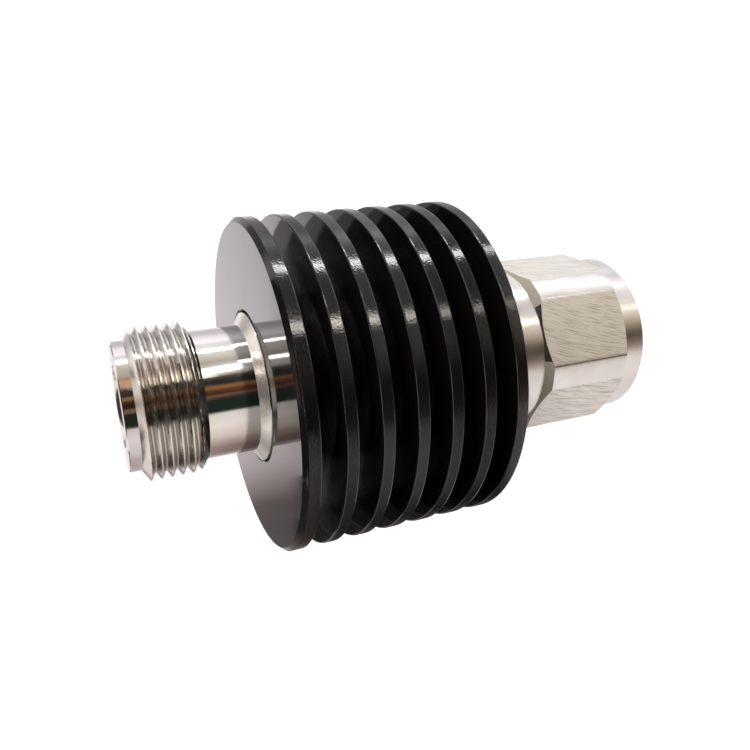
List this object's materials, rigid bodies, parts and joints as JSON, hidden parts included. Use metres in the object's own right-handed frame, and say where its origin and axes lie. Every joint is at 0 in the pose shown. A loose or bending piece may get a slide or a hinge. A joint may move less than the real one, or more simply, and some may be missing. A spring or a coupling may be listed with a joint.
{
  "type": "coaxial attenuator",
  "caption": "Fixed coaxial attenuator: a round finned heat sink between a threaded jack and a plug with a freely turning coupling nut.",
  "frame": {"origin": "centre of the coupling nut's mouth, which the part stands on", "axes": "+Z along the main axis from the plug to the jack; -Y is the side that the picture shows"},
  "size_m": [0.036, 0.036, 0.0592],
  "materials": {
    "black_anodise": "glossy black anodise on turned aluminium",
    "bright_nickel": "bright nickel plate on turned brass",
    "satin_nickel": "nickel plate over milled flats with fine cutter lines",
    "gold_plate": "gold plate",
    "white_bead": "waxy white fluoropolymer",
    "seal_rubber": "matte black rubber",
    "gasket_rubber": "matte silicone rubber",
    "bare_aluminium": "turned and milled, bare",
    "white_ceramic": "unglazed ceramic",
    "spring_steel": "plain spring steel"
  },
  "bodies": {
    "attenuator": {"heat_sink": "black_anodise", "jack_body": "bright_nickel", "jack_center_contact": "gold_plate", "jack_insulator": "white_bead", "jack_insulator_ring": "bright_nickel", "jack_seal_ring": "seal_rubber", "carrier_half_front": "bare_aluminium", "carrier_half_rear": "bare_aluminium", "attenuator_chip": "white_ceramic", "jack_chip_clip": "gold_plate", "plug_chip_clip": "gold_plate", "plug_body": "bright_nickel", "plug_outer_contact": "bright_nickel", "plug_center_contact": "gold_plate", "plug_insulator": "white_bead", "plug_insulator_ring": "bright_nickel", "plug_seal_ring": "seal_rubber", "plug_gasket": "gasket_rubber", "nut_snap_ring": "spring_steel"},
    "nut": {"coupling_nut": "satin_nickel"}
  },
  "joints": [
    {"name": "nut_spin", "type": "hinge", "parent": "attenuator", "child": "nut", "pos_m": [0, 0, 0.0088], "axis": [0, 0, 1], "continuous": true}
  ]
}
